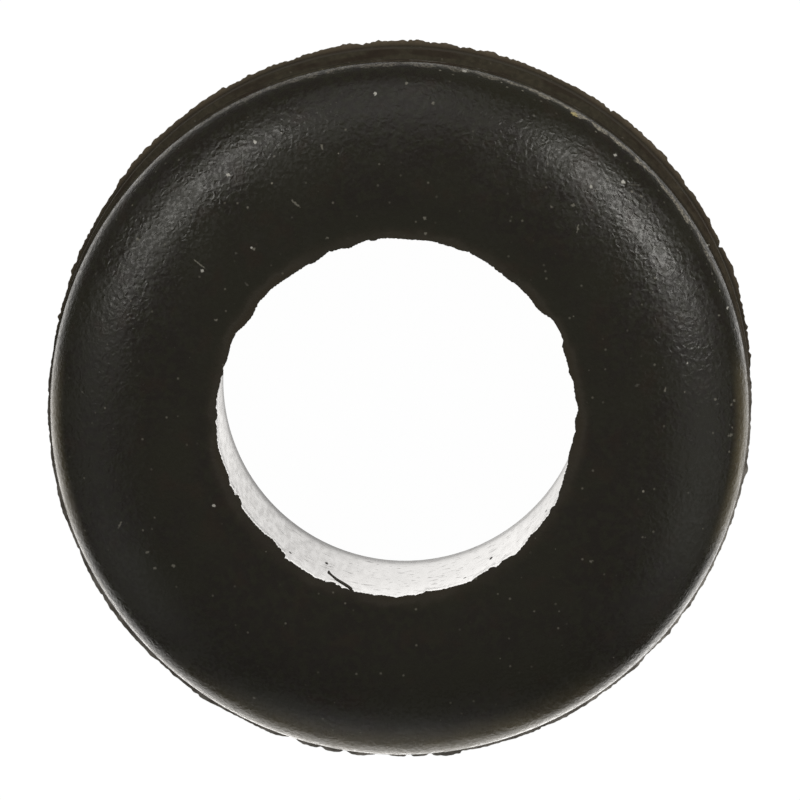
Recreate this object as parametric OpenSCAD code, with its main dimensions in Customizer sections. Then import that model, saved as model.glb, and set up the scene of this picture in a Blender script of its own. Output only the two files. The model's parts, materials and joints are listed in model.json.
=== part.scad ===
// Rubber grommet: a moulded ring that lines a hole in a sheet panel.
// Two domed flanges face each other across a groove that grips the panel's edge,
// and a plain bore carries the cable. The ring lies on its lower flat face, with
// its axis on Z and its origin at the centre of that face. Sizes are millimetres.

/* [Bore] */
// Diameter of the cable bore
bore_d = 8.0; // [6:0.1:9.8]
// Radius moulded on the bore's lower edge; the upper edge is sharp
bore_edge_r = 0.15; // [0.05:0.01:0.3]

/* [Flanges] */
// Diameter of both flanges at the rim, without the flash
flange_d = 15.3; // [12.6:0.1:24]
// Height from one flat face to the other
overall_h = 6.2; // [5:0.1:12]
// Width of the flat land between the bore and the start of the dome
face_w = 0.6; // [0.4:0.05:1]
// Radius of the shoulder where the dome turns down into the rim
shoulder_r = 1.1; // [0.5:0.05:1.8]
// Straight wall of each flange between its rim and the groove
edge_t = 0.45; // [0.3:0.05:0.9]

/* [Panel groove] */
// Diameter of the groove's floor, which is the diameter of the panel's hole
panel_hole_d = 11.0; // [10:0.1:12]
// Width of the groove, which is the thickness of the panel
panel_t = 1.6; // [0.8:0.1:2.4]
// Radius at each corner of the groove's floor
groove_corner_r = 0.2; // [0.05:0.05:0.35]

/* [Moulding flash] */
// How far the flash stands out from the rim
flash_w = 0.09; // [0.03:0.01:0.2]
// Thickness of the flash
flash_t = 0.06; // [0.03:0.01:0.15]

/* [Hidden] */

$fn = 180;
rubber_colour = [0.145, 0.133, 0.114];

// Least amount by which the dome is wider than it is tall, and taller than its shoulder
dome_gap = 0.1;
// Depth at which the flash is rooted in the rim, and by which the groove's cut
// runs out past the flash
margin = 0.05;

bore_r = bore_d / 2;
flange_r = flange_d / 2;
neck_r = panel_hole_d / 2;
face_r = bore_r + face_w;

// On a narrow flange the dome gets lower, and the wall below its rim gets taller.
dome_w = flange_r - face_r;
dome_h = min((overall_h - panel_t) / 2 - edge_t, dome_w - dome_gap);
shoulder = min(shoulder_r, dome_h - dome_gap);

// The crown arc is level at the land, and the shoulder arc is upright at the rim.
// They meet without a corner where the line through both centres leaves the dome.
crown_r = (pow(dome_w, 2) + pow(dome_h, 2) - 2 * dome_w * shoulder) / (2 * (dome_h - shoulder));
crown_centre = [face_r, dome_h - crown_r];
shoulder_centre = [flange_r - shoulder, 0];
blend_dir = (shoulder_centre - crown_centre) / norm(shoulder_centre - crown_centre);
beyond_dome = crown_centre + 2 * crown_r * blend_dir;
above_dome = dome_h + beyond_dome.y;

upper_rim_z = overall_h - dome_h;
groove_low_z = (overall_h - panel_t) / 2;
mid_z = overall_h / 2;

// Section of one dome, from its rim at height 0 up to its flat face
module dome_section() {
    intersection() {
        translate([bore_r, 0]) square([flange_r - bore_r, dome_h]);
        union() {
            translate([bore_r, 0]) square([face_w, dome_h]);
            intersection() {
                translate(crown_centre) circle(r = crown_r);
                polygon([[face_r, 0], shoulder_centre, beyond_dome,
                         [beyond_dome.x, above_dome], [face_r, above_dome]]);
            }
            intersection() {
                translate(shoulder_centre) circle(r = shoulder);
                polygon([shoulder_centre, [beyond_dome.x, 0], beyond_dome]);
            }
        }
    }
}

// Section of the flash left at a rim by the mould's parting line
module flash_section() {
    translate([flange_r - margin, -flash_t / 2]) square([margin + flash_w, flash_t]);
}

// Section of the upper half of the ring, before the groove is cut
module upper_half_section() {
    translate([0, upper_rim_z]) dome_section();
    translate([bore_r, mid_z]) square([flange_r - bore_r, upper_rim_z - mid_z]);
    translate([0, upper_rim_z]) flash_section();
}

// Section of the space that the panel fills, with rounded corners at its floor
module groove_section() {
    depth = flange_r + flash_w + margin - neck_r;
    translate([neck_r, groove_low_z + groove_corner_r])
        square([groove_corner_r, panel_t - 2 * groove_corner_r]);
    translate([neck_r + groove_corner_r, groove_low_z])
        square([depth - groove_corner_r, panel_t]);
    for (corner_z = [groove_low_z + groove_corner_r, groove_low_z + panel_t - groove_corner_r])
        translate([neck_r + groove_corner_r, corner_z]) circle(r = groove_corner_r);
}

// Sliver taken off the bore's lower edge to round it
module bore_edge_section() {
    difference() {
        translate([bore_r, 0]) square(bore_edge_r);
        translate([bore_r + bore_edge_r, bore_edge_r]) circle(r = bore_edge_r);
    }
}

// The whole ring: both halves, less the groove and the bore's rounded edge
module grommet() {
    color(rubber_colour)
        rotate_extrude()
            difference() {
                union() {
                    upper_half_section();
                    translate([0, overall_h]) mirror([0, 1]) upper_half_section();
                }
                groove_section();
                bore_edge_section();
            }
}

grommet();
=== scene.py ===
"""Looks of a moulded rubber grommet: torn flash, a dusty satin skin and a polished bore.

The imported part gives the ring's main sizes and its place. All lengths are metres.
"""

import json
import logging
import math
from dataclasses import dataclass
from enum import Enum
from typing import NamedTuple

import bpy
import numpy as np
from mathutils import Matrix, Vector


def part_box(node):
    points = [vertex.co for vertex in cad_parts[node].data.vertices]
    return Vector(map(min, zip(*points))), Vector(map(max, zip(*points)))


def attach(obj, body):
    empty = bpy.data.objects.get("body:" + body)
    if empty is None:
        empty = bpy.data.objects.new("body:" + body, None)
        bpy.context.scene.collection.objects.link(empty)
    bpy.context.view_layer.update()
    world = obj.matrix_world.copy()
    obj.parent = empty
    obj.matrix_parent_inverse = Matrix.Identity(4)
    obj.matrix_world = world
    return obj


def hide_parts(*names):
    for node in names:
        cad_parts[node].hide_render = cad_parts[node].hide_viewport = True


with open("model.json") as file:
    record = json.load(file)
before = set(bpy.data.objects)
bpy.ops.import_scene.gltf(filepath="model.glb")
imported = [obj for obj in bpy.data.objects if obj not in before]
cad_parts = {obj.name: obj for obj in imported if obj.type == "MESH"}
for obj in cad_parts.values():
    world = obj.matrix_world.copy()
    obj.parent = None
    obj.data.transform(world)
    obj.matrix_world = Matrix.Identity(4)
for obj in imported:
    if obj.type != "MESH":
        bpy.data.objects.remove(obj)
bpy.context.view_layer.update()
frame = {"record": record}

MM = 0.001
NODE = "grommet"
BODY = "root"
FULL_TURN = 2 * math.pi
LOG = logging.getLogger(NODE)

Colour = tuple[float, float, float, float]
Socket = bpy.types.NodeSocket
Number = Socket | float
Value = Socket | tuple[float, ...] | float
WHITE: Colour = (1.0, 1.0, 1.0, 1.0)


def tone(red: int, green: int, blue: int) -> Colour:
    """Turns a colour as a screen shows it into the linear colour that a shader takes.

    Args:
        red: Red, from 0 to 255.
        green: Green, from 0 to 255.
        blue: Blue, from 0 to 255.

    Returns:
        The linear colour, opaque.
    """
    shares = [value / 255 for value in (red, green, blue)]
    linear = [s / 12.92 if s <= 0.04045 else ((s + 0.055) / 1.055) ** 2.4 for s in shares]
    return (*linear, 1.0)


def mount_size(mount: str, size: str) -> float:
    """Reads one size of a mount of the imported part, in metres.

    Args:
        mount: The mount's name.
        size: The size's name.

    Returns:
        The size.
    """
    found = next(m for m in frame["record"]["mounts"] if m["name"] == mount)
    return found["dims"][size] * MM


# ---------------------------------------------------------------------------
# The ring's section
# ---------------------------------------------------------------------------


class Zone(Enum):
    """Stretches of the ring's surface, each with the number of its finish."""

    SKIN = 0
    BORE = 1


class Edge(Enum):
    """Edges of the ring from which a film of rubber was torn."""

    LIP = "bore lip"
    UPPER = "upper rim"
    LOWER = "lower rim"


class Station(NamedTuple):
    """One corner of the ring's outline.

    Attributes:
        r: Distance from the axis.
        z: Height.
        edge: The torn edge that this corner belongs to.
        pull: How much of the tear this corner follows. 1 is all of it.
    """

    r: float
    z: float
    edge: Edge | None = None
    pull: float = 0.0


@dataclass(frozen=True)
class Section:
    """Half of the ring's cross-section: its sizes, and the curves that they give.

    Attributes:
        bore_r: Radius of the bore.
        groove_r: Radius of the panel groove's floor.
        groove_w: Width of the panel groove.
        flange_r: Radius of both flanges, without their flash.
        height: Overall height.
        bore_edge_r: Rounding of the bore's lower edge.
        land_w: Width of the flat ring round each mouth of the bore.
        shoulder_r: Rounding between a crown and its flange's edge.
        edge_t: Height of a flange's straight edge.
        corner_r: Rounding at the foot of the groove.
        break_r: Rounding of the flanges' edges at the groove.
        fin_t: Thickness of the flash at the rims.
        fin_drop: How far the upper flash lies below its rim, and the lower flash above its own.
        lip_t: Height of the torn edge at the bore's lip.
    """

    bore_r: float
    groove_r: float
    groove_w: float
    flange_r: float
    height: float
    bore_edge_r: float
    land_w: float = 0.6 * MM
    shoulder_r: float = 1.1 * MM
    edge_t: float = 0.45 * MM
    corner_r: float = 0.2 * MM
    break_r: float = 0.012 * MM
    fin_t: float = 0.06 * MM
    fin_drop: float = 0.09 * MM
    lip_t: float = 0.24 * MM

    @property
    def land_r(self) -> float:
        """Outer radius of the flat land, where the crown starts."""
        return self.bore_r + self.land_w

    @property
    def rim_z(self) -> float:
        """Height of the upper flange's rim, where its shoulder meets its straight edge."""
        return (self.height + self.groove_w) / 2 + self.edge_t

    @property
    def crown_r(self) -> float:
        """Works out the crown, which leaves the land level and runs smoothly into the shoulder.

        Returns:
            The crown's radius.
        """
        wide = self.flange_r - self.land_r
        high = self.height - self.rim_z
        spare = wide**2 + high**2 - 2 * wide * self.shoulder_r
        return spare / (2 * (high - self.shoulder_r))

    @property
    def blend_angle(self) -> float:
        """Works out where the crown hands over to the shoulder.

        Returns:
            The angle above level.
        """
        across = self.flange_r - self.shoulder_r - self.land_r
        up = self.rim_z - (self.height - self.crown_r)
        return math.atan2(up, across)

    def top_at(self, r: float) -> float:
        """Height of the upper flange's skin at a distance from the axis.

        Args:
            r: Distance from the axis, from the bore to the rim.

        Returns:
            The height there.
        """
        across = r - self.land_r
        if across <= 0:
            return self.height
        if across <= self.crown_r * math.cos(self.blend_angle):
            return self.height - self.crown_r + math.sqrt(self.crown_r**2 - across**2)
        reach = min(r - self.flange_r + self.shoulder_r, self.shoulder_r)
        return self.rim_z + math.sqrt(self.shoulder_r**2 - reach**2)


# Corners of the lip down the bore: depth in heights of the torn lip, and pull of the tear.
LIP_PROFILE: tuple[tuple[float, float], ...] = ((0.1, 1.04), (1.0, 1.0), (3.0, 0.5), (7.0, 0.05))
# Corners across a film of flash: height from its middle, -1 to 1, and pull of the tear.
FIN_PROFILE: tuple[tuple[float, float], ...] = (
    (-1.0, 0.08),
    (-0.45, 0.9),
    (0.1, 1.0),
    (0.5, 0.9),
    (1.0, 0.08),
)
# Pull of the upper tear on the rim and on the shoulder's first corner, and the lip's on the land.
RIM_PULL, SHOULDER_PULL, LAND_PULL = 0.1, 0.06, 0.12
# Last corners of the upper land, as shares of its width from the bore.
LAND_CORNERS = (0.3, 0.08)
# Steps along each curve of the lower flange, and of the upper one, which is seen from nearer.
LOWER_STEPS, UPPER_STEPS = 7, 10
# Steps along the bore, and round its lower edge.
BORE_STEPS, EDGE_STEPS = 5, 4


class Outline:
    """The ring's outline: a chain of stations from the lip down the bore and round again."""

    def __init__(self, section: Section) -> None:
        """Traces the whole outline.

        Args:
            section: The ring's sizes.
        """
        self.section = section
        self.stations: list[Station] = []
        self._bore()
        self._lower_flange()
        self._groove()
        self._upper_flange()

    def _to(self, r: float, z: float, steps: int = 1, **marks: object) -> None:
        """Goes straight on to a place.

        Args:
            r: Distance from the axis to end at.
            z: Height to end at.
            steps: Number of equal steps.
            marks: Edge and pull of the new stations.
        """
        from_r, from_z = self.stations[-1][:2]
        for share in np.linspace(0, 1, steps + 1)[1:]:
            self.stations.append(
                Station(from_r + (r - from_r) * share, from_z + (z - from_z) * share, **marks)
            )

    def _arc(
        self, middle: tuple[float, float], radius: float, start: float, end: float, steps: int
    ) -> None:
        """Goes round an arc.

        Args:
            middle: The arc's centre, as distance from the axis and height.
            radius: The arc's radius.
            start: Angle above level at which it starts. That station is already there.
            end: Angle above level at which it ends.
            steps: Number of equal steps.
        """
        for angle in np.linspace(start, end, steps + 1)[1:]:
            r = middle[0] + radius * math.cos(angle)
            self.stations.append(Station(r, middle[1] + radius * math.sin(angle)))

    def _follow(self, number: int, edge: Edge, pull: float) -> None:
        """Makes a station that is already there follow a torn edge a little.

        Args:
            number: The station's place in the chain.
            edge: The torn edge.
            pull: How much it follows.
        """
        self.stations[number] = self.stations[number]._replace(edge=edge, pull=pull)

    def _bore(self) -> None:
        """Traces the torn lip, the bore's wall and its rounded lower edge."""
        s = self.section
        self.stations.append(Station(s.bore_r, s.height, Edge.LIP, 1.0))
        for depth, pull in LIP_PROFILE:
            self._to(s.bore_r, s.height - depth * s.lip_t, edge=Edge.LIP, pull=pull)
        self._to(s.bore_r, s.bore_edge_r, BORE_STEPS)
        middle = (s.bore_r + s.bore_edge_r, s.bore_edge_r)
        self._arc(middle, s.bore_edge_r, math.pi, 1.5 * math.pi, EDGE_STEPS)

    def _lower_flange(self) -> None:
        """Traces the lower land, crown and shoulder, and the flash at the lower rim."""
        s = self.section
        rim_z = s.height - s.rim_z
        self._to(s.land_r, 0, 2)
        crown, shoulder = (s.land_r, s.crown_r), (s.flange_r - s.shoulder_r, rim_z)
        self._arc(crown, s.crown_r, -math.pi / 2, -s.blend_angle, LOWER_STEPS)
        self._arc(shoulder, s.shoulder_r, -s.blend_angle, 0, LOWER_STEPS)
        self._fin(Edge.LOWER, rim_z + s.fin_drop)

    def _groove(self) -> None:
        """Traces both flanges' edges and the panel groove between them."""
        s = self.section
        low = (s.height - s.groove_w) / 2
        high = low + s.groove_w
        foot = s.groove_r + s.corner_r
        quarter = math.pi / 2
        self._to(s.flange_r, low - s.break_r)
        self._arc((s.flange_r - s.break_r, low - s.break_r), s.break_r, 0, quarter, 2)
        self._to(foot, low, 2)
        self._arc((foot, low + s.corner_r), s.corner_r, -quarter, -math.pi, 2)
        self._to(s.groove_r, high - s.corner_r, 2)
        self._arc((foot, high - s.corner_r), s.corner_r, math.pi, quarter, 2)
        self._to(s.flange_r - s.break_r, high, 2)
        self._arc((s.flange_r - s.break_r, high + s.break_r), s.break_r, -quarter, 0, 2)

    def _upper_flange(self) -> None:
        """Traces the flash at the upper rim, then the shoulder, the crown and the land."""
        s = self.section
        self._fin(Edge.UPPER, s.rim_z - s.fin_drop)
        self._to(s.flange_r, s.rim_z, edge=Edge.UPPER, pull=RIM_PULL)
        first = len(self.stations)
        shoulder, crown = (s.flange_r - s.shoulder_r, s.rim_z), (s.land_r, s.height - s.crown_r)
        self._arc(shoulder, s.shoulder_r, 0, s.blend_angle, UPPER_STEPS)
        self._follow(first, Edge.UPPER, SHOULDER_PULL)
        self._arc(crown, s.crown_r, s.blend_angle, math.pi / 2, UPPER_STEPS)
        self._to(s.bore_r + LAND_CORNERS[0] * s.land_w, s.height, 2)
        self._to(s.bore_r + LAND_CORNERS[1] * s.land_w, s.height, edge=Edge.LIP, pull=LAND_PULL)

    def _fin(self, edge: Edge, middle: float) -> None:
        """Traces a film of flash round a rim, drawn in to the flange until it is torn to its width.

        Args:
            edge: The rim that it runs round.
            middle: Height of the film's middle.
        """
        s = self.section
        for up, pull in FIN_PROFILE:
            self._to(s.flange_r, middle + up * s.fin_t / 2, edge=edge, pull=pull)


# ---------------------------------------------------------------------------
# Torn edges
# ---------------------------------------------------------------------------


@dataclass(frozen=True)
class Swell:
    """A place where a torn edge stands out, or is chipped back.

    Attributes:
        angle: Where it is round the ring, in degrees.
        width: Its length round the ring, in degrees.
        reach: How far it stands out. Below 0 it is a chip.
    """

    angle: float
    width: float
    reach: float

    def at(self, degrees: np.ndarray) -> np.ndarray:
        """How far it stands out at each angle, as a smooth hump."""
        away = (degrees - self.angle + 180) % 360 - 180
        return self.reach * np.exp(-((away / (self.width / 2)) ** 2))


@dataclass(frozen=True)
class Tear:
    """Ragged edge where a film of flash was torn off: short bulging spans, some after a step.

    Attributes:
        seed: Seed of its random draws.
        reach: How far it stands out in the mean.
        sway: Typical size of its slow waves.
        corner: Typical distance of the corners between spans from the mean.
        step: Typical height of a step.
        steps: Share of the spans that start with a step.
        belly: Most that a span bulges between its ends.
        grit: Typical size of its quickest waves.
        spans: Shortest and longest span, in degrees.
        least: The least that it stands out, so that it never cuts deep into the ring.
        lift: Most that the film curls up or down.
        swells: Places listed one by one.
        bulges: Least and greatest share of the belly that a span has. Below 0 it is hollow.
        slow: Fewest and most of the slow waves in a turn.
        quick: Fewest and most of the quickest waves in a turn.
        curl: Fewest and most of the waves in which the film curls.
    """

    seed: int
    reach: float
    sway: float
    corner: float
    step: float
    steps: float
    belly: float
    grit: float
    spans: tuple[float, float]
    least: float
    lift: float
    swells: tuple[Swell, ...]
    bulges: tuple[float, float] = (-0.2, 1.0)
    slow: tuple[int, int] = (2, 14)
    quick: tuple[int, int] = (70, 400)
    curl: tuple[int, int] = (6, 40)

    def waves(
        self, degrees: np.ndarray, draws: np.random.Generator, counts: tuple[int, int]
    ) -> np.ndarray:
        """Sums sine waves that close after a turn.

        Args:
            degrees: Angles round the ring.
            draws: Source of the random sizes and phases.
            counts: Fewest and most waves in a turn.

        Returns:
            Their sum at each angle, with a typical size of 1.
        """
        turns = np.arange(counts[0], counts[1] + 1)
        sizes = draws.normal(size=len(turns))
        phases = draws.uniform(0, FULL_TURN, len(turns))
        total = np.sin(np.radians(degrees)[:, None] * turns + phases) @ sizes
        return total / math.sqrt(np.sum(sizes**2) / 2)

    def at(self, degrees: np.ndarray) -> tuple[np.ndarray, np.ndarray]:
        """Works out the edge round the ring.

        Args:
            degrees: Angles round the ring, rising from 0 to 360.

        Returns:
            How far the edge stands out at each angle, and how far it is lifted there.
        """
        draws = np.random.default_rng(self.seed)
        mean_width = sum(self.spans) / 2
        count = int(360 / mean_width)
        widths = draws.uniform(*self.spans, count)
        ends = np.concatenate([[0], np.cumsum(widths)]) * (360 / widths.sum())
        corners = draws.normal(0, self.corner, count)
        steps = draws.normal(0, self.step, count) * (draws.random(count) < self.steps)
        starts, stops = corners + steps, np.roll(corners, -1)
        bellies = draws.uniform(*self.bulges, count) * self.belly
        span = np.clip(np.searchsorted(ends, degrees, side="right") - 1, 0, count - 1)
        along = (degrees - ends[span]) / (ends[span + 1] - ends[span])
        ragged = starts[span] + (stops[span] - starts[span]) * along
        ragged += bellies[span] * 4 * along * (1 - along)  # a hump of height 1
        ragged += self.sway * self.waves(degrees, draws, self.slow)
        ragged += self.grit * self.waves(degrees, draws, self.quick)
        for swell in self.swells:
            ragged += swell.at(degrees)
        lift = self.lift * self.waves(degrees, draws, self.curl) / 2
        return np.maximum(self.reach + ragged, self.least), lift


# ---------------------------------------------------------------------------
# Finishes
# ---------------------------------------------------------------------------


@dataclass(frozen=True)
class Mark:
    """A grain of dust or a short fibre that lies on the upper flange.

    Attributes:
        angle: Where it is round the ring, in degrees.
        r: Distance from the axis.
        length: Its length.
        width: Its width.
        heading: Direction of its length, in degrees from +X.
        colour: Its colour.
    """

    angle: float
    r: float
    length: float
    width: float
    heading: float
    colour: Colour

    def at(self, height: float) -> tuple[float, float, float]:
        """Its place, with the height of what it lies on."""
        turn = math.radians(self.angle)
        return (self.r * math.cos(turn), self.r * math.sin(turn), height)


class Pattern(Enum):
    """Patterns of the finishes, each with a number that moves it to another stretch.

    Clouds and specks are different patterns, so one of each may share a number.
    """

    OLIVE_PATCHES = 1.0
    OLIVE_MOTTLE = 22.0
    RUST_STREAKS = 2.0
    RUST_FLECKS = 15.0
    CHALK = 17.0
    LIP_EDGE = 3.0
    LIP_PATCHES = 9.0
    RIM_GRIT = 4.0
    RIM_WANDER = 14.0
    RIM_PATCHES = 35.0
    HAZE = 25.0
    DRIED_DUST = 27.0
    MARK_EDGE = 30.0
    LINT = 3.0
    DUST = 7.0
    FINE_DUST = 21.0
    RIM_DUST = 23.0
    SATIN = 5.0
    SPARKLE = 34.0
    RIPPLES = 8.0
    LEATHER = 6.0
    LEATHER_PATCHES = 10.0
    PORES = 7.0
    SCUFF_EDGE = 18.0
    DASHES = 12.0
    WALL_GRAIN = 11.0
    WALL_PATCHES = 28.0
    SMEARS = 31.0
    BLOOM_PATCHES = 33.0
    WALL_RIPPLES = 13.0


class Graph:
    """Nodes of one material or world, joined step by step."""

    def __init__(self, tree: bpy.types.NodeTree) -> None:
        """Takes over a tree of nodes.

        Args:
            tree: The tree.
        """
        self.nodes = tree.nodes
        self.links = tree.links

    def feed(self, target: Socket, value: Value) -> None:
        """Joins a socket to an input, or writes a plain value on it.

        Args:
            target: The input.
            value: The socket or the plain value.
        """
        if isinstance(value, bpy.types.NodeSocket):
            self.links.new(value, target)
        else:
            target.default_value = value

    def add(self, kind: str, inputs: dict, **options: object) -> bpy.types.Node:
        """Adds a node.

        Args:
            kind: Blender's name for the node.
            inputs: What each named or numbered input gets.
            options: The node's own settings.

        Returns:
            The node.
        """
        node = self.nodes.new(kind)
        for name, option in options.items():
            setattr(node, name, option)
        for name, value in inputs.items():
            self.feed(node.inputs[name], value)
        return node

    def math(self, operation: str, *values: Number) -> Socket:
        """Adds a Math node with that operation and those inputs."""
        return self.add("ShaderNodeMath", dict(enumerate(values)), operation=operation).outputs[0]

    def _chain(self, operation: str, values: tuple[Number, ...]) -> Socket:
        """Joins values one after another with the same operation.

        Args:
            operation: Blender's name for the operation.
            values: The values, in order.

        Returns:
            The result.
        """
        total = values[0]
        for value in values[1:]:
            total = self.math(operation, total, value)
        return total

    def times(self, *values: Number) -> Socket:
        """Multiplies values."""
        return self._chain("MULTIPLY", values)

    def plus(self, *values: Number) -> Socket:
        """Adds values."""
        return self._chain("ADD", values)

    def most(self, *values: Number) -> Socket:
        """Takes the largest of some values."""
        return self._chain("MAXIMUM", values)

    def fade(
        self, value: Socket, start: float, end: float, low: float = 0.0, high: float = 1.0
    ) -> Socket:
        """Turns a value into a smooth share.

        Args:
            value: The value to read.
            start: Value at which the share is low.
            end: Value at which the share is high. It may lie below start.
            low: Share at start.
            high: Share at end.

        Returns:
            The share.
        """
        ends = sorted([(start, low), (end, high)])
        inputs = {"Value": value, "From Min": ends[0][0], "From Max": ends[1][0]}
        inputs |= {"To Min": ends[0][1], "To Max": ends[1][1]}
        node = self.add("ShaderNodeMapRange", inputs, interpolation_type="SMOOTHSTEP")
        return node.outputs["Result"]

    def blend(self, share: Socket, first: Value, second: Value) -> Socket:
        """Mixes two colours, the first at a share of 0 and the second at 1."""
        inputs = {0: share, 6: first, 7: second}
        return self.add("ShaderNodeMix", inputs, data_type="RGBA").outputs[2]

    def away(
        self,
        place: Socket,
        middle: tuple[float, float, float],
        half: tuple[float, float, float],
        heading: float = 0.0,
    ) -> Socket:
        """How far a place lies from a middle.

        Args:
            place: Coordinates of the place.
            middle: Coordinates of the middle.
            half: Length that counts as 1 along, across and up.
            heading: Direction of along, in degrees from +X.

        Returns:
            The distance, counted in those lengths.
        """
        inputs = {"Vector": place, "Location": middle, "Scale": half}
        inputs["Rotation"] = (0, 0, math.radians(heading))
        moved = self.add("ShaderNodeMapping", inputs, vector_type="TEXTURE").outputs[0]
        return self.add("ShaderNodeVectorMath", {0: moved}, operation="LENGTH").outputs["Value"]


class Recipe(Graph):
    """Shader nodes of one finish. Its patterns read the piece's own coordinates.

    Attributes:
        SHIFT: How far each number of a pattern moves it along X, Y and Z, in grains.
        SPOT_EDGE: Where a spot starts and where it is full, as shares of its half size.
        STRONG: Where a grain of dust starts to show and where it is full, of its random number.
        BEND_SCALE: Scale of the waves that bend a net of wrinkles.
    """

    SHIFT: tuple[float, float, float] = (7.3, 3.1, 5.7)
    SPOT_EDGE: tuple[float, float] = (1.15, 0.55)
    STRONG: tuple[float, float] = (0.4, 1.0)
    BEND_SCALE: float = 0.9

    def __init__(self, name: str) -> None:
        """Starts a material with one Principled shader.

        Args:
            name: Name of the material.
        """
        self.material = bpy.data.materials.new(name)
        self.material.use_nodes = True
        super().__init__(self.material.node_tree)
        self.shader = self.nodes["Principled BSDF"]
        self.place = self.nodes.new("ShaderNodeTexCoord").outputs["Object"]
        sides = self.add("ShaderNodeSeparateXYZ", {"Vector": self.place}).outputs
        self.x, self.y, self.height = sides
        squares = [self.times(side, side) for side in (self.x, self.y)]
        self.radius = self.math("SQRT", self.plus(*squares))

    def set(self, name: str, value: Value) -> None:
        """Joins or writes one input of the Principled shader."""
        self.feed(self.shader.inputs[name], value)

    def round_ring(self, along: float, across: float, reading: Socket) -> Socket:
        """Coordinates for streaks that run round the ring.

        Args:
            along: Length of a streak, as a share of the distance from the axis.
            across: Width of a streak.
            reading: What is measured across a streak, such as the height.

        Returns:
            A place for a pattern of grain 1.
        """
        length = self.times(self.radius, along)
        sides = [self.math("DIVIDE", side, length) for side in (self.x, self.y)]
        inputs = {"X": sides[0], "Y": sides[1], "Z": self.math("DIVIDE", reading, across)}
        return self.add("ShaderNodeCombineXYZ", inputs).outputs[0]

    def laid_out(self, grain: float, pattern: Pattern, place: Socket | None = None) -> Socket:
        """Coordinates in grains, moved to a pattern's own stretch.

        Args:
            grain: Size of one grain of the pattern.
            pattern: The pattern.
            place: Coordinates to use instead of the piece's own.

        Returns:
            A place for a texture of scale 1.
        """
        shift = tuple(step * pattern.value for step in self.SHIFT)
        inputs = {0: place or self.place, 1: (1 / grain,) * 3, 2: shift}
        return self.add("ShaderNodeVectorMath", inputs, operation="MULTIPLY_ADD").outputs[0]

    def clouds(
        self, grain: float, pattern: Pattern, detail: float = 2.0, place: Socket | None = None
    ) -> Socket:
        """A cloudy pattern about 0.5.

        Args:
            grain: Size of a cloud.
            pattern: The pattern.
            detail: How many finer sizes are laid over it.
            place: Coordinates to use instead of the piece's own.

        Returns:
            The pattern, mostly from 0.25 to 0.75.
        """
        inputs = {"Vector": self.laid_out(grain, pattern, place), "Scale": 1.0, "Detail": detail}
        return self.add("ShaderNodeTexNoise", inputs).outputs[0]

    def sway(self, grain: float, pattern: Pattern, detail: float) -> Socket:
        """A cloudy pattern about 0, mostly from -0.25 to 0.25."""
        return self.math("SUBTRACT", self.clouds(grain, pattern, detail), 0.5)

    def wrinkles(self, grain: float, pattern: Pattern, crease: float, warp: float) -> Socket:
        """A net of raised wrinkles, like leather.

        Args:
            grain: Size of the cells between them.
            pattern: The pattern.
            crease: Width of a wrinkle's flank, in grains.
            warp: How far the net is pulled out of shape, in grains.

        Returns:
            The share of wrinkle, 1 along its crest.
        """
        place = self.laid_out(grain, pattern)
        inputs = {"Vector": place, "Scale": self.BEND_SCALE, "Detail": 1.0}
        waves = self.add("ShaderNodeTexNoise", inputs).outputs["Color"]
        inputs = {0: waves, 1: (warp,) * 3, 2: place}
        bent = self.add("ShaderNodeVectorMath", inputs, operation="MULTIPLY_ADD").outputs[0]
        inputs = {"Vector": bent, "Scale": 1.0}
        cells = self.add("ShaderNodeTexVoronoi", inputs, feature="DISTANCE_TO_EDGE")
        return self.fade(cells.outputs["Distance"], crease, 0.0)

    def specks(self, spacing: float, size: float, pattern: Pattern) -> Socket:
        """Grains of dust of uneven strength.

        Args:
            spacing: Spacing of the places where a grain may lie.
            size: Radius of a grain.
            pattern: The pattern.

        Returns:
            The share of dust.
        """
        inputs = {"Vector": self.laid_out(spacing, pattern), "Scale": 1.0}
        cells = self.add("ShaderNodeTexVoronoi", inputs).outputs
        strength = self.add("ShaderNodeSeparateXYZ", {"Vector": cells["Color"]}).outputs[0]
        grain = self.fade(cells["Distance"], size / spacing, 0.5 * size / spacing)
        return self.times(grain, self.fade(strength, *self.STRONG))

    def spot(
        self,
        at: tuple[float, float, float],
        heading: float,
        size: tuple[float, float, float],
        ragged: Number = 0.0,
    ) -> Socket:
        """The share of one small spot with soft edges.

        Args:
            at: Its middle.
            heading: Direction of its length, in degrees from +X.
            size: Its length, width and depth.
            ragged: Pattern that makes its outline uneven, about 0.

        Returns:
            The share of it at each place.
        """
        away = self.away(self.place, at, tuple(side / 2 for side in size), heading)
        return self.fade(self.plus(away, ragged), *self.SPOT_EDGE)

    def bump(self, height: Socket, depth: float, over: Socket | None = None) -> Socket:
        """Raises the surface by a pattern.

        Args:
            height: The pattern, from 0 to 1.
            depth: How high it stands at 1.
            over: Normal of a coarser relief that this one lies on.

        Returns:
            The new normal.
        """
        inputs = {"Height": height, "Distance": depth, "Strength": 1.0}
        if over is not None:
            inputs["Normal"] = over
        return self.add("ShaderNodeBump", inputs).outputs[0]


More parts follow.
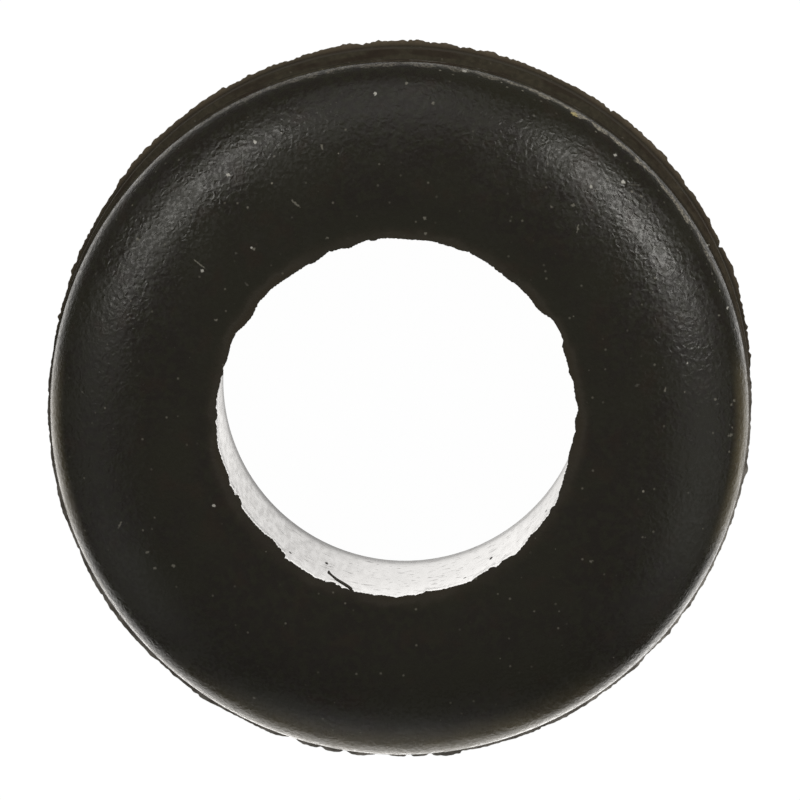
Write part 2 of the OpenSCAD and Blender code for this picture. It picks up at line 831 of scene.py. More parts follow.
@dataclass(frozen=True)
class Skin:
    """Satin outside: leathery grain, scuffed and torn edges with painted rim light, lint on its
    face.

    Attributes:
        rubber: Plain colour of the rubber.
        olive: Its greener patches.
        rust: Its redder patches.
        chalk: Colour of the moulding dust that is left in the groove.
        torn: Colour of raw rubber, at the torn lip and on the upper rim's flash.
        film: Colour of the lower rim's flash, and of the thickest dust in the groove.
        front_lit_flash: Pale colour of the upper rim's flash in front: painted light from the
            floor, as if it shone through the thin film.
        haze_and_floor_light: Colour near the upper rim: a film of dust, with painted light from the
            floor on the shoulder.
        wear_and_highlight: Scuffed colour along the upper rim, pale enough to paint a highlight
            line there.
        dust: Colour of fine dust.
        rawness: How much of the torn colour the lip shows.
        scuffing_and_highlight: How much of the scuffed colour, with its painted highlight, the rim
            shows.
        roughness: Roughness of the plain skin.
        matt: Roughness in the groove and where it was torn.
        scuffed: Roughness of the scuffed rim.
        ior: How strongly the skin reflects.
        leather: Size of the leathery grain's cells.
        leather_depth: Height of its wrinkles.
        crease: Width of a wrinkle's flank, in cells.
        warp: How far the net of wrinkles is pulled out of shape, in cells.
        pore: Size of the pores between them.
        pore_depth: Depth of the pores.
        peel: Size of the slow ripples.
        peel_depth: Depth of the ripples.
        marks: Grains and fibres that are placed one by one.
    """

    rubber: Colour = tone(43, 38, 31)
    olive: Colour = tone(47, 45, 33)
    rust: Colour = tone(55, 42, 32)
    chalk: Colour = tone(86, 79, 63)
    torn: Colour = tone(69, 61, 48)
    film: Colour = tone(113, 101, 83)
    front_lit_flash: Colour = tone(196, 190, 181)
    haze_and_floor_light: Colour = tone(134, 122, 92)
    wear_and_highlight: Colour = tone(190, 182, 164)
    dust: Colour = tone(182, 176, 160)
    rawness: float = 0.72
    scuffing_and_highlight: float = 0.75
    roughness: float = 0.285
    matt: float = 0.95
    scuffed: float = 0.45
    ior: float = 1.5
    leather: float = 0.165 * MM
    leather_depth: float = 0.0036 * MM
    crease: float = 0.32
    warp: float = 0.9
    pore: float = 0.125 * MM
    pore_depth: float = 0.0075 * MM
    peel: float = 0.9 * MM
    peel_depth: float = 0.006 * MM
    marks: tuple[Mark, ...] = ()

    def build(self, section: Section) -> bpy.types.Material:
        """Makes the material.

        Args:
            section: The ring's sizes, which place the worn, torn and streaked stretches.

        Returns:
            The material.
        """
        r = Recipe("rubber_skin")
        between = self._between_rims(r, section)
        lip = self._torn_lip(r, section)
        worn_and_highlit = self._worn_and_highlit_rim(r, section)
        fins = self._flash(r, section)
        colour = self._rubber(r, section, between)
        # Dust with painted floor light near the upper rim, strongest in front.
        colour = r.blend(self._hazy_and_floor_lit(r, section), colour, self.haze_and_floor_light)
        colour = r.blend(r.times(lip, self.rawness), colour, self.torn)
        # Painted light: the upper flash is paler in front, as if the floor lit it through.
        colour = r.blend(fins, colour, self._flash_colour(r, section))
        # Scuffed colour along the upper rim, which also paints its highlight line.
        colour = r.blend(r.times(worn_and_highlit, self.scuffing_and_highlight), colour, self.wear_and_highlight)
        colour = self._marked(r, section, colour)
        r.set("Base Color", r.blend(self._dusty(r, section), colour, self.dust))
        matt = r.times(r.most(lip, between, fins), self.matt)
        r.set("Roughness", r.most(self._satin(r), matt, r.times(worn_and_highlit, self.scuffed)))
        r.set("Normal", self._relief(r, section))
        r.set("IOR", self.ior)
        return r.material

    def _between_rims(self, r: Recipe, section: Section) -> Socket:
        """The share of the groove and of the flanges' straight edges.

        Args:
            r: The recipe.
            section: The ring's sizes.

        Returns:
            The share at each place.
        """
        lower = section.height - section.rim_z
        return r.times(
            r.fade(r.height, lower - 0.06 * MM, lower),
            r.fade(r.height, section.rim_z - 0.01 * MM, section.rim_z - 0.05 * MM),
            r.fade(r.radius, section.bore_r + 0.5 * MM, section.bore_r + 0.6 * MM),
        )

    def _flash(self, r: Recipe, section: Section) -> Socket:
        """The share of flash, which starts at the upper rim and grows slowly out of the lower.

        Args:
            r: The recipe.
            section: The ring's sizes.

        Returns:
            The share at each place.
        """
        below = r.fade(r.height, section.height / 2, section.height / 2 - 0.1 * MM)
        grown = r.fade(r.radius, section.flange_r - 0.04 * MM, section.flange_r + 0.13 * MM)
        upper = r.fade(r.radius, section.flange_r - 0.002 * MM, section.flange_r + 0.02 * MM)
        above = r.math("SUBTRACT", 1.0, below)
        return r.most(r.times(below, grown), r.times(upper, above))

    def _flash_colour(self, r: Recipe, section: Section) -> Socket:
        """The flash's colour: paler below than above, and palest above in front, where light from
        the floor is painted on.

        Args:
            r: The recipe.
            section: The ring's sizes.

        Returns:
            The colour at each place.
        """
        above = r.fade(r.height, section.height / 2, section.height / 2 + 0.1 * MM)
        front = r.fade(r.y, 3 * MM, -3 * MM)
        right = r.fade(r.x, -5 * MM, -1.5 * MM, 0.55, 1.0)
        patchy = r.fade(r.clouds(0.35 * MM, Pattern.DRIED_DUST), 0.3, 0.7, 0.4, 1.0)
        # Painted floor light on the upper flash: strongest in front, weaker on the left, patchy.
        front_lit = r.times(front, above, right, patchy)
        return r.blend(front_lit, r.blend(above, self.film, self.torn), self.front_lit_flash)

    def _hazy_and_floor_lit(self, r: Recipe, section: Section) -> Socket:
        """The share of cloudy dust with painted floor light near the upper rim, in front and at
        both sides.

        Args:
            r: The recipe.
            section: The ring's sizes.

        Returns:
            The share at each place.
        """
        above = r.fade(r.height, section.rim_z, section.rim_z + 0.03 * MM)
        front = r.times(
            r.fade(r.radius, section.flange_r - 0.82 * MM, section.flange_r - 0.02 * MM),
            r.fade(r.y, -5.2 * MM, -7.5 * MM, 0.0, 0.8),
        )
        sides = r.times(
            r.fade(r.radius, section.flange_r - 0.36 * MM, section.flange_r - 0.04 * MM, 0.0, 0.8),
            r.fade(r.math("ABSOLUTE", r.x), 6.2 * MM, 6.9 * MM),
            r.fade(r.y, -3.4 * MM, -2 * MM),
            r.fade(r.y, 1.6 * MM, 0.2 * MM),
        )
        cloudy = r.fade(r.clouds(0.5 * MM, Pattern.HAZE, 3.0), 0.3, 0.7, 0.7, 1.0)
        return r.times(above, cloudy, r.most(front, sides))

    def _torn_lip(self, r: Recipe, section: Section) -> Socket:
        """The share of raw rubber along the torn lip of the bore.

        Args:
            r: The recipe.
            section: The ring's sizes.

        Returns:
            The share at each place.
        """
        wander = r.times(r.clouds(0.3 * MM, Pattern.LIP_EDGE, 3.0), 0.25 * MM)
        ragged = r.plus(r.radius, wander)
        near = r.fade(ragged, section.bore_r + 0.42 * MM, section.bore_r + 0.1 * MM)
        above = r.fade(r.height, section.height / 2 - 0.1 * MM, section.height / 2)
        patchy = r.fade(r.clouds(2.2 * MM, Pattern.LIP_PATCHES), 0.35, 0.6, 0.5, 1.0)
        return r.times(near, above, patchy)

    def _worn_and_highlit_rim(self, r: Recipe, section: Section) -> Socket:
        """Share of scuffed, dusty rubber and painted highlight on the upper rim, heaviest in front
        and back right.

        Args:
            r: The recipe.
            section: The ring's sizes.

        Returns:
            The share at each place.
        """
        front = r.fade(r.y, -2 * MM, 2 * MM, 0.9, 0.3)
        back = r.times(r.fade(r.y, 2.2 * MM, 4.4 * MM), r.fade(r.x, 1.2 * MM, 4.2 * MM, 0.15, 1.05))
        corner = r.times(r.fade(r.x, 2 * MM, 4.6 * MM, 0.0, -0.55), r.fade(r.y, -1.2 * MM, -3 * MM))
        right = r.times(r.fade(r.x, 5 * MM, 7 * MM, 0.0, 0.35), r.fade(r.y, -0.8 * MM, 1.2 * MM))
        heavy = r.most(r.math("SUBTRACT", r.plus(front, back, corner), right), 0.0)
        grit = r.clouds(0.06 * MM, Pattern.RIM_GRIT, 3.0)
        gritty = r.fade(r.plus(grit, r.fade(r.y, 2 * MM, -2 * MM, 0.0, 0.12)), 0.36, 0.68, 0.1, 1.0)
        wander = r.times(r.clouds(0.8 * MM, Pattern.RIM_WANDER), 0.05 * MM)
        outer = r.plus(r.radius, wander)
        sway = r.sway(0.4 * MM, Pattern.RIM_PATCHES, 2.0)
        uneven = r.times(sway, r.fade(r.y, 0.0, 4 * MM, 0.25, 1.0))
        inner = r.plus(outer, r.times(uneven, 0.2 * MM))
        return r.times(
            r.fade(inner, section.flange_r - 0.07 * MM, section.flange_r - 0.042 * MM),
            r.fade(outer, section.flange_r - 0.006 * MM, section.flange_r - 0.024 * MM),
            r.fade(r.height, section.rim_z, section.rim_z + 0.02 * MM),
            gritty,
            heavy,
        )

    def _rubber(self, r: Recipe, section: Section, between: Socket) -> Socket:
        """The rubber's mottled colour, with rusty streaks and moulding dust in the groove.

        Args:
            r: The recipe.
            section: The ring's sizes.
            between: The share of the groove.

        Returns:
            The colour at each place.
        """
        patches = r.fade(r.clouds(1.6 * MM, Pattern.OLIVE_PATCHES, 3.0), 0.4, 0.64)
        mottled = r.fade(r.clouds(0.2 * MM, Pattern.OLIVE_MOTTLE), 0.42, 0.62)
        inner = r.times(r.fade(r.radius, 5.0 * MM, 4.3 * MM), r.fade(r.y, -1 * MM, 2 * MM))
        colour = r.blend(r.most(patches, mottled, inner), self.rubber, self.olive)
        within = r.fade(r.radius, section.flange_r + 0.015 * MM, section.flange_r - 0.03 * MM)
        dusty = r.fade(r.clouds(0.12 * MM, Pattern.CHALK, 3.0), 0.3, 0.7, 0.55, 1.0)
        chalky = r.times(between, within, dusty)
        colour = r.blend(chalky, colour, self.chalk)
        thick = r.times(chalky, r.fade(r.x, 4.6 * MM, 7.2 * MM, 0.0, 0.6))
        colour = r.blend(thick, colour, self.film)
        across = r.plus(r.radius, r.height)
        streaks = r.clouds(1, Pattern.RUST_STREAKS, 3.0, r.round_ring(0.14, 0.2 * MM, across))
        colour = r.blend(r.times(between, r.fade(streaks, 0.48, 0.66), 0.6), colour, self.rust)
        flecks = r.times(r.fade(r.clouds(0.7 * MM, Pattern.RUST_FLECKS, 3.0), 0.56, 0.7), 0.35)
        return r.blend(flecks, colour, self.rust)

    def _marked(self, r: Recipe, section: Section, colour: Socket) -> Socket:
        """Lays the grains and fibres on the skin.

        Args:
            r: The recipe.
            section: The ring's sizes.
            colour: The skin's colour without them.

        Returns:
            The colour at each place.
        """
        ragged = r.times(r.sway(0.05 * MM, Pattern.MARK_EDGE, 1.0), 2.2)
        for mark in self.marks:
            size = (mark.length, mark.width, 4 * mark.width + mark.length)
            spot = r.spot(mark.at(section.top_at(mark.r)), mark.heading, size, ragged)
            colour = r.blend(spot, colour, mark.colour)
        return colour

    def _dusty(self, r: Recipe, section: Section) -> Socket:
        """The share of fine dust, which lies thickest on the back right of the upper rim.

        Args:
            r: The recipe.
            section: The ring's sizes.

        Returns:
            The share at each place.
        """
        lint = r.specks(0.9 * MM, 0.036 * MM, Pattern.LINT)
        loose = r.times(r.most(lint, r.specks(0.4 * MM, 0.02 * MM, Pattern.DUST)), 0.7)
        fine = r.times(r.specks(0.26 * MM, 0.034 * MM, Pattern.FINE_DUST), 0.3)
        rim = r.times(
            r.fade(r.radius, section.flange_r - 0.2 * MM, section.flange_r - 0.1 * MM),
            r.fade(r.height, section.rim_z, section.rim_z + 0.02 * MM),
            r.fade(r.x, -1 * MM, 3 * MM, 0.15, 1.0),
            r.fade(r.y, 0.0, 3 * MM, 0.15, 1.0),
        )
        caught = r.times(rim, r.specks(0.15 * MM, 0.035 * MM, Pattern.RIM_DUST))
        return r.most(loose, fine, caught)

    def _satin(self, r: Recipe) -> Socket:
        """The plain skin's roughness, cloudy and with a fine sparkle.

        Args:
            r: The recipe.

        Returns:
            The roughness at each place.
        """
        clouds = r.clouds(1.1 * MM, Pattern.SATIN, 3.0)
        cloudy = r.fade(clouds, 0.35, 0.65, self.roughness - 0.04, self.roughness + 0.05)
        sparkle = r.fade(r.clouds(0.09 * MM, Pattern.SPARKLE, 1.0), 0.36, 0.64, -0.06, 0.08)
        return r.plus(cloudy, sparkle)

    def _relief(self, r: Recipe, section: Section) -> Socket:
        """The moulded grain: slow ripples, a net of wrinkles and fine pores.

        The wrinkles and pores are weaker in front, except near the rims.

        Args:
            r: The recipe.
            section: The ring's sizes.

        Returns:
            The normal at each place.
        """
        near = r.fade(r.radius, section.flange_r - 0.75 * MM, section.flange_r - 0.3 * MM, 0.0, 0.9)
        strong = r.most(r.fade(r.y, -1 * MM, -5 * MM, 1.0, 0.3), near)
        ripples = r.bump(r.clouds(self.peel, Pattern.RIPPLES, 1.0), self.peel_depth)
        net = r.wrinkles(self.leather, Pattern.LEATHER, self.crease, self.warp)
        patchy = r.fade(r.clouds(0.5 * MM, Pattern.LEATHER_PATCHES), 0.3, 0.65, 0.35, 1.0)
        wrinkled = r.bump(r.times(net, patchy, strong), self.leather_depth, ripples)
        pores = r.times(r.clouds(self.pore, Pattern.PORES, 1.0), strong)
        return r.bump(pores, self.pore_depth, wrinkled)


@dataclass(frozen=True)
class BoreWall:
    """Polished wall of the bore, which mirrors what is bright beyond it.

    Attributes:
        rubber: Colour of the rubber below the polish.
        lip_highlight: Near-white colour just below the lip, a painted highlight line.
        gleam: How metallic that band is, so that it mirrors as brightly as the polish does.
        roughness: Roughness of the plain wall.
        scuffed: Roughness where it is scuffed.
        coat: How much polish there is.
        dulled: How much of the polish a scuff takes away.
        coat_roughness: Roughness of the polish.
        ripple: Size of the slow ripples.
        ripple_depth: Depth of the ripples.
        pit_size: Depth and width of a small hole.
        pits: The small holes, each as its angle in degrees, its height and how tall it is.
    """

    rubber: Colour = tone(84, 78, 74)
    lip_highlight: Colour = tone(247, 246, 243)
    gleam: float = 0.6
    roughness: float = 0.12
    scuffed: float = 0.85
    coat: float = 1.0
    dulled: float = 0.8
    coat_roughness: float = 0.08
    ripple: float = 0.5 * MM
    ripple_depth: float = 0.0015 * MM
    pit_size: tuple[float, float] = (0.2 * MM, 0.09 * MM)
    pits: tuple[tuple[float, float, float], ...] = ()

    def build(self, section: Section) -> bpy.types.Material:
        """Makes the material.

        Args:
            section: The ring's sizes, which place the scuffs and the bloom.

        Returns:
            The material.
        """
        r = Recipe("bore_wall")
        scuffs = self._scuffs(r, section)
        # Painted highlight: a near-white, partly metallic band just below the lip.
        top = r.fade(
            r.height, section.height - 1.1 * section.lip_t, section.height - 0.8 * section.lip_t
        )
        patchy = r.fade(r.clouds(0.3 * MM, Pattern.BLOOM_PATCHES), 0.35, 0.6, 0.3, 1.0)
        rougher = r.times(scuffs, self.scuffed - self.roughness)
        r.set("Base Color", r.blend(top, self.rubber, self.lip_highlight))
        r.set("Metallic", r.times(top, patchy, self.gleam))
        r.set("Roughness", r.plus(self.roughness, rougher))
        r.set("Coat Weight", r.math("SUBTRACT", self.coat, r.times(scuffs, self.dulled)))
        r.set("Coat Roughness", self.coat_roughness)
        r.set("Normal", r.bump(r.clouds(self.ripple, Pattern.WALL_RIPPLES), self.ripple_depth))
        return r.material

    def _scuffs(self, r: Recipe, section: Section) -> Socket:
        """The share of scuffs: dull below and on the left, with fine dashes, smears and pits.

        Args:
            r: The recipe.
            section: The ring's sizes.

        Returns:
            The share at each place.
        """
        left = r.fade(r.x, 0.5 * MM, -3.2 * MM, 0.25, 1.0)
        sides = r.most(left, r.fade(r.x, 1.2 * MM, 3.4 * MM, 0.25, 0.6))
        ragged = r.plus(r.height, r.times(r.clouds(0.4 * MM, Pattern.SCUFF_EDGE, 3.0), 0.5 * MM))
        grain = r.clouds(0.06 * MM, Pattern.WALL_GRAIN)
        low = r.times(r.fade(ragged, 1.5 * MM, 0.35 * MM), left)
        dull = r.times(low, r.fade(grain, 0.3, 0.7, 0.2, 0.6))
        patches = r.clouds(1, Pattern.WALL_PATCHES, 3.0, r.round_ring(0.032, 0.8 * MM, r.height))
        mottled = r.times(r.fade(patches, 0.34, 0.66, 0.3, 1.0), sides, 0.33)
        smears = r.clouds(1, Pattern.SMEARS, 3.0, r.round_ring(0.03, 0.4 * MM, r.height))
        foot = r.fade(r.plus(r.height, r.times(smears, MM)), 0.9 * MM, 0.55 * MM, 0.0, 0.4)
        streaks = r.clouds(1, Pattern.DASHES, 2.0, r.round_ring(0.055, 0.15 * MM, r.height))
        dashes = r.fade(streaks, 0.6, 0.68, 0.0, 0.5)
        grains = r.times(r.fade(grain, 0.5, 0.66), left, 0.3)
        scuffs = r.most(dull, mottled, foot, dashes, grains)
        for angle, height, tall in self.pits:
            turn = math.radians(angle)
            at = (section.bore_r * math.cos(turn), section.bore_r * math.sin(turn), height)
            scuffs = r.most(scuffs, r.times(r.spot(at, angle, (*self.pit_size, tall)), 1.2))
        return scuffs


# ---------------------------------------------------------------------------
# The grommet
# ---------------------------------------------------------------------------


def clear_selection() -> None:
    """Deselects every object."""
    bpy.ops.object.select_all(action="DESELECT")


def select_only(*chosen: bpy.types.Object) -> None:
    """Selects some objects and no others.

    Args:
        chosen: The objects. The first becomes the active one.
    """
    clear_selection()
    for thing in chosen:
        thing.select_set(True)
    bpy.context.view_layer.objects.active = chosen[0]


def face_outwards() -> None:
    """Turns all faces of the mesh in edit mode outwards, and goes back to object mode."""
    bpy.ops.mesh.select_all(action="SELECT")
    bpy.ops.mesh.normals_make_consistent(inside=False)
    bpy.ops.object.mode_set(mode="OBJECT")


def blank_mesh(name: str) -> bpy.types.Object:
    """Adds a plane and merges it to one vertex, ready to be drawn on from.

    Args:
        name: Name of the new object and its mesh.

    Returns:
        The object, in edit mode, with its vertex at the origin selected.
    """
    clear_selection()
    bpy.ops.mesh.primitive_plane_add(size=MM, location=(0, 0, 0))
    made = bpy.context.object
    made.name = made.data.name = name
    bpy.ops.object.mode_set(mode="EDIT")
    bpy.ops.mesh.select_all(action="SELECT")
    bpy.ops.mesh.merge(type="CENTER")
    return made


@dataclass(frozen=True)
class Strand:
    """Strand of the lip's film that peeled away and reaches over the bore.

    Attributes:
        route: Its points from root to tip, each as the angle round the ring in degrees, the
            distance in from the bore's wall, the height above the lip's film and its radius.
        sides: Number of its sides.
        drop: How far the lip's film lies below the land.
    """

    route: tuple[tuple[float, float, float, float], ...]
    sides: int = 8
    drop: float = 0.03 * MM

    def build(self, section: Section) -> bpy.types.Object:
        """Draws the strand as a tapered tube with closed ends.

        Args:
            section: The ring's sizes.

        Returns:
            The strand, in object mode.
        """
        film_z = section.height - self.drop
        places = []
        radii = []
        for degrees, inwards, above, thick in self.route:
            turn, r = math.radians(degrees), section.bore_r - inwards
            places.append(Vector((r * math.cos(turn), r * math.sin(turn), film_z + above)))
            radii.append(thick)
        facing = (places[-1] - places[0]).to_track_quat("Z", "Y").to_euler()
        clear_selection()
        bpy.ops.mesh.primitive_circle_add(
            vertices=self.sides,
            radius=radii[0],
            fill_type="NGON",
            location=(0, 0, 0),
            rotation=facing,
        )
        made = bpy.context.object
        made.name = made.data.name = "lip_strand"
        bpy.ops.object.transform_apply(location=True, rotation=True, scale=True)
        bpy.ops.object.mode_set(mode="EDIT")
        bpy.ops.mesh.select_all(action="SELECT")
        bpy.ops.transform.translate(value=places[0])
        for before, place, was, radius in zip(places, places[1:], radii, radii[1:]):
            bpy.ops.mesh.extrude_region_move(TRANSFORM_OT_translate={"value": place - before})
            bpy.ops.transform.resize(value=(radius / was,) * 3, center_override=place)
        face_outwards()
        return made


@dataclass
class Grommet:
    """The moulded ring, with all its torn edges and the strand that hangs from its lip.

    Attributes:
        section: The ring's sizes.
        tears: How each torn edge runs.
        skin: Finish of its outside.
        wall: Finish of its bore.
        strand: The strand that hangs from its lip.
        slump: How far the upper flange sits off the bore's axis, in X and Y.
        steps: Number of steps round it.
        weld: Distance below which two corners of the outline become one.
        slack: How far outside the bore's radius a face still counts as the bore's wall.
        smooth: Angle between faces, in degrees, up to which they are shaded as one.
    """

    section: Section
    tears: dict[Edge, Tear]
    skin: Skin
    wall: BoreWall
    strand: Strand
    slump: tuple[float, float] = (0.015 * MM, -0.04 * MM)
    steps: int = 1240
    weld: float = 0.001 * MM
    slack: float = 0.01 * MM
    smooth: float = 32.0

    def build(self) -> bpy.types.Object:
        """Makes the ring and dresses it.

        Returns:
            The finished piece.
        """
        outline = Outline(self.section).stations
        ring = self._spin(outline)
        self._tear(ring, outline)
        self._join(ring, self.strand.build(self.section))
        self._dress(ring)
        LOG.info("%s: %d stations, %d faces", ring.name, len(outline), len(ring.data.polygons))
        return ring

    def _spin(self, outline: list[Station]) -> bpy.types.Object:
        """Draws the outline and spins it into a closed ring.

        Args:
            outline: The outline's stations.

        Returns:
            The ring, in object mode.
        """
        ring = blank_mesh("grommet_ring")
        corners = [Vector((station.r, 0, station.z)) for station in outline]
        bpy.ops.transform.translate(value=corners[0])
        for here, there in zip(corners, corners[1:] + corners[:1]):
            bpy.ops.mesh.extrude_region_move(TRANSFORM_OT_translate={"value": there - here})
        bpy.ops.mesh.select_all(action="SELECT")
        bpy.ops.mesh.remove_doubles(threshold=self.weld)
        bpy.ops.object.mode_set(mode="OBJECT")
        turn = ring.modifiers.new("turn", "SCREW")
        turn.steps = turn.render_steps = self.steps
        turn.use_merge_vertices = True
        turn.merge_threshold = self.weld
        bpy.ops.object.modifier_apply(modifier=turn.name)
        bpy.ops.object.mode_set(mode="EDIT")
        face_outwards()
        return ring

    def _stations_of(self, points: np.ndarray, outline: list[Station]) -> np.ndarray:
        """Finds the station that each point of the ring was spun from.

        Args:
            points: The ring's points.
            outline: The outline's stations.

        Returns:
            The number of each point's station.
        """
        radii = np.hypot(points[:, 0], points[:, 1])
        places = np.array([station[:2] for station in outline])
        away = (radii[:, None] - places[:, 0]) ** 2 + (points[:, 2][:, None] - places[:, 1]) ** 2
        return away.argmin(axis=1)

    def _tear(self, ring: bpy.types.Object, outline: list[Station]) -> None:
        """Pulls each torn edge out of the smooth ring, and lets the ring slump.

        Args:
            ring: The ring.
            outline: The outline's stations.
        """
        count = len(ring.data.vertices)
        points = np.empty(count * 3)
        ring.data.vertices.foreach_get("co", points)
        points = points.reshape(-1, 3)
        station = self._stations_of(points, outline)
        radii = np.hypot(points[:, 0], points[:, 1])
        unit = points[:, :2] / radii[:, None]
        degrees = np.degrees(np.arctan2(points[:, 1], points[:, 0])) % 360
        step = np.round(degrees / 360 * self.steps).astype(int) % self.steps
        turn = np.arange(self.steps) * 360 / self.steps
        pull = np.array([s.pull for s in outline])[station]
        for edge, tear in self.tears.items():
            ours = np.array([s.edge is edge for s in outline])[station]
            reach, lift = tear.at(turn)
            outwards = -1 if edge is Edge.LIP else 1
            moved = outwards * pull * reach[step]
            points[ours, :2] += (unit * moved[:, None])[ours]
            points[ours, 2] += (pull * lift[step])[ours]
        points[:, :2] += self._slumped(radii, points[:, 2])
        ring.data.vertices.foreach_set("co", points.ravel())
        ring.data.update()

    def _slumped(self, radii: np.ndarray, heights: np.ndarray) -> np.ndarray:
        """Works out how far the upper flange's slump moves each point of the ring.

        Args:
            radii: Each point's distance from the axis.
            heights: Each point's height.

        Returns:
            The way that each point moves, in X and Y.
        """
        s = self.section
        out = np.clip((radii - s.land_r) / (s.flange_r - s.land_r), 0, 1)
        up = np.clip((heights - s.height / 2) / (s.groove_w / 2), 0, 1)
        return (out * up)[:, None] * np.array(self.slump)

    def _join(self, ring: bpy.types.Object, strand: bpy.types.Object) -> None:
        """Makes the strand a part of the ring's mesh.

        Args:
            ring: The ring.
            strand: The strand.
        """
        select_only(ring, strand)
        bpy.ops.object.join()

    def _dress(self, ring: bpy.types.Object) -> None:
        """Gives each stretch of the ring its finish and its shading.

        Args:
            ring: The ring.
        """
        for material in (self.skin.build(self.section), self.wall.build(self.section)):
            ring.data.materials.append(material)
        lip_z = self.section.height - LIP_PROFILE[0][0] * self.section.lip_t
        wall_r = self.section.bore_r + self.slack
        for face in ring.data.polygons:
            middle = face.center
            inside = math.hypot(middle.x, middle.y) < wall_r
            if inside and self.section.bore_edge_r < middle.z < lip_z:
                face.material_index = Zone.BORE.value
        select_only(ring)
        bpy.ops.object.shade_smooth_by_angle(angle=math.radians(self.smooth))


# ---------------------------------------------------------------------------
# Studio
# ---------------------------------------------------------------------------


@dataclass(frozen=True)
class Softbox:
    """A large soft lamp.

    Attributes:
        name: Its name.
        towards: Direction from the object to it.
        wide: Angle that it fills from side to side, in degrees.
        tall: Angle that it fills from bottom to top, in degrees.
        strength: Brightness of its face.
        warmth: Colour of its light.
        distance: Distance from the object.
    """

    name: str
    towards: tuple[float, float, float]
    wide: float
    tall: float
    strength: float
    warmth: tuple[float, float, float] = (1.0, 0.985, 0.94)
    distance: float = 0.5

    def build(self) -> bpy.types.Object:
        """Hangs the lamp so that it faces the object.

        Returns:
            The lamp.
        """
        lamp = bpy.data.lights.new(self.name, "AREA")
        lamp.shape = "RECTANGLE"
        lamp.size = 2 * self.distance * math.tan(math.radians(self.wide / 2))
        lamp.size_y = 2 * self.distance * math.tan(math.radians(self.tall / 2))
        lamp.energy = self.strength * math.pi * lamp.size * lamp.size_y
        lamp.color = self.warmth
        made = bpy.data.objects.new(self.name, lamp)
        away = Vector(self.towards).normalized()
        made.location = away * self.distance
        made.rotation_euler = away.to_track_quat("Z", "Y").to_euler()
        made.visible_camera = False
        bpy.context.scene.collection.objects.link(made)
        return made


@dataclass(frozen=True)
class Pool:
    """Oval pool of light on the floor, which reflections show.

    Attributes:
        middle: Its middle, in X and Y.
        size: Its half widths along X and Y.
        core: Share of its size that is fully lit.
        strength: How bright it is there. Below 0 it is a shadow.
    """

    middle: tuple[float, float]
    size: tuple[float, float]
    core: float
    strength: float


@dataclass(frozen=True)
class Contact:
    """Dark ring on the floor where the bore's lower edge stands on it, as reflections show it.

    Attributes:
        middle: Point that it runs round, in X and Y.
        radius: Radius of its middle line, where it is darkest.
        reach: Half of its width.
        strength: How much light it takes away.
    """

    middle: tuple[float, float]
    radius: float
    reach: float
    strength: float


@dataclass(frozen=True)
class Floor:
    """Pale floor, which shows white and keeps a faint shadow.

    Attributes:
        pools: The pools of light that it shows in reflections.
        contact: The dark ring round the foot of the bore.
        warmth: Colour of its light in reflections.
        width: Its width.
        gloom: How bright the rest of it looks in reflections.
        glow: How white it looks by itself.
        shade: Share of its look that its shadows take away.
        paper: How pale it is as it lights the object.
    """

    pools: tuple[Pool, ...]
    contact: Contact
    warmth: Colour = (1.0, 0.98, 0.955, 1.0)
    width: float = 6.0
    gloom: float = 0.06
    glow: float = 0.984
    shade: float = 0.1
    paper: float = 0.85

    def build(self) -> None:
        """Lays the floor."""
        clear_selection()
        bpy.ops.mesh.primitive_plane_add(size=self.width, location=(0, 0, 0))
        floor = bpy.context.object
        floor.name = "floor"
        material = bpy.data.materials.new("pale_floor")
        material.use_nodes = True
        material.node_tree.nodes.clear()
        g = Graph(material.node_tree)
        seen = g.add("ShaderNodeLightPath", {}).outputs
        mirrored = g.most(seen["Is Glossy Ray"], seen["Is Transmission Ray"])
        strength = g.times(seen["Is Camera Ray"], self.glow)
        strength = g.math("MULTIPLY_ADD", mirrored, self._reflected(g), strength)
        shown = g.most(mirrored, seen["Is Camera Ray"])
        pale = g.math("MULTIPLY_ADD", shown, self.shade - self.paper, self.paper)
        matt = g.add("ShaderNodeBsdfDiffuse", {"Color": pale}).outputs[0]
        colour = g.blend(mirrored, WHITE, self.warmth)
        glow = g.add("ShaderNodeEmission", {"Color": colour, "Strength": strength}).outputs[0]
        both = g.add("ShaderNodeAddShader", {0: matt, 1: glow}).outputs[0]
        g.add("ShaderNodeOutputMaterial", {"Surface": both})
        floor.data.materials.append(material)

    def _reflected(self, g: Graph) -> Socket:
        """How bright the floor looks in reflections: its pools, and the dark ring over them.

        Args:
            g: The floor material's nodes.

        Returns:
            The brightness at each place.
        """
        place = g.add("ShaderNodeTexCoord", {}).outputs["Object"]
        total: Number = self.gloom
        for pool in self.pools:
            away = g.away(place, (*pool.middle, 0), (*pool.size, 1))
            total = g.plus(g.fade(away, 1.0, pool.core, 0.0, pool.strength), total)
        away = g.away(place, (*self.contact.middle, 0), (1, 1, 1))
        off = g.math("ABSOLUTE", g.math("SUBTRACT", away, self.contact.radius))
        kept = g.fade(off, 0.0, self.contact.reach, 1 - self.contact.strength, 1.0)
        return g.times(total, kept)


@dataclass(frozen=True)
class Glow:
    """Soft glow of the surroundings round one direction.

    Attributes:
        towards: The direction from the object.
        spread: Angle from there to where it ends, in degrees.
        strength: How bright it is in the middle.
    """

    towards: tuple[float, float, float]
    spread: float
    strength: float


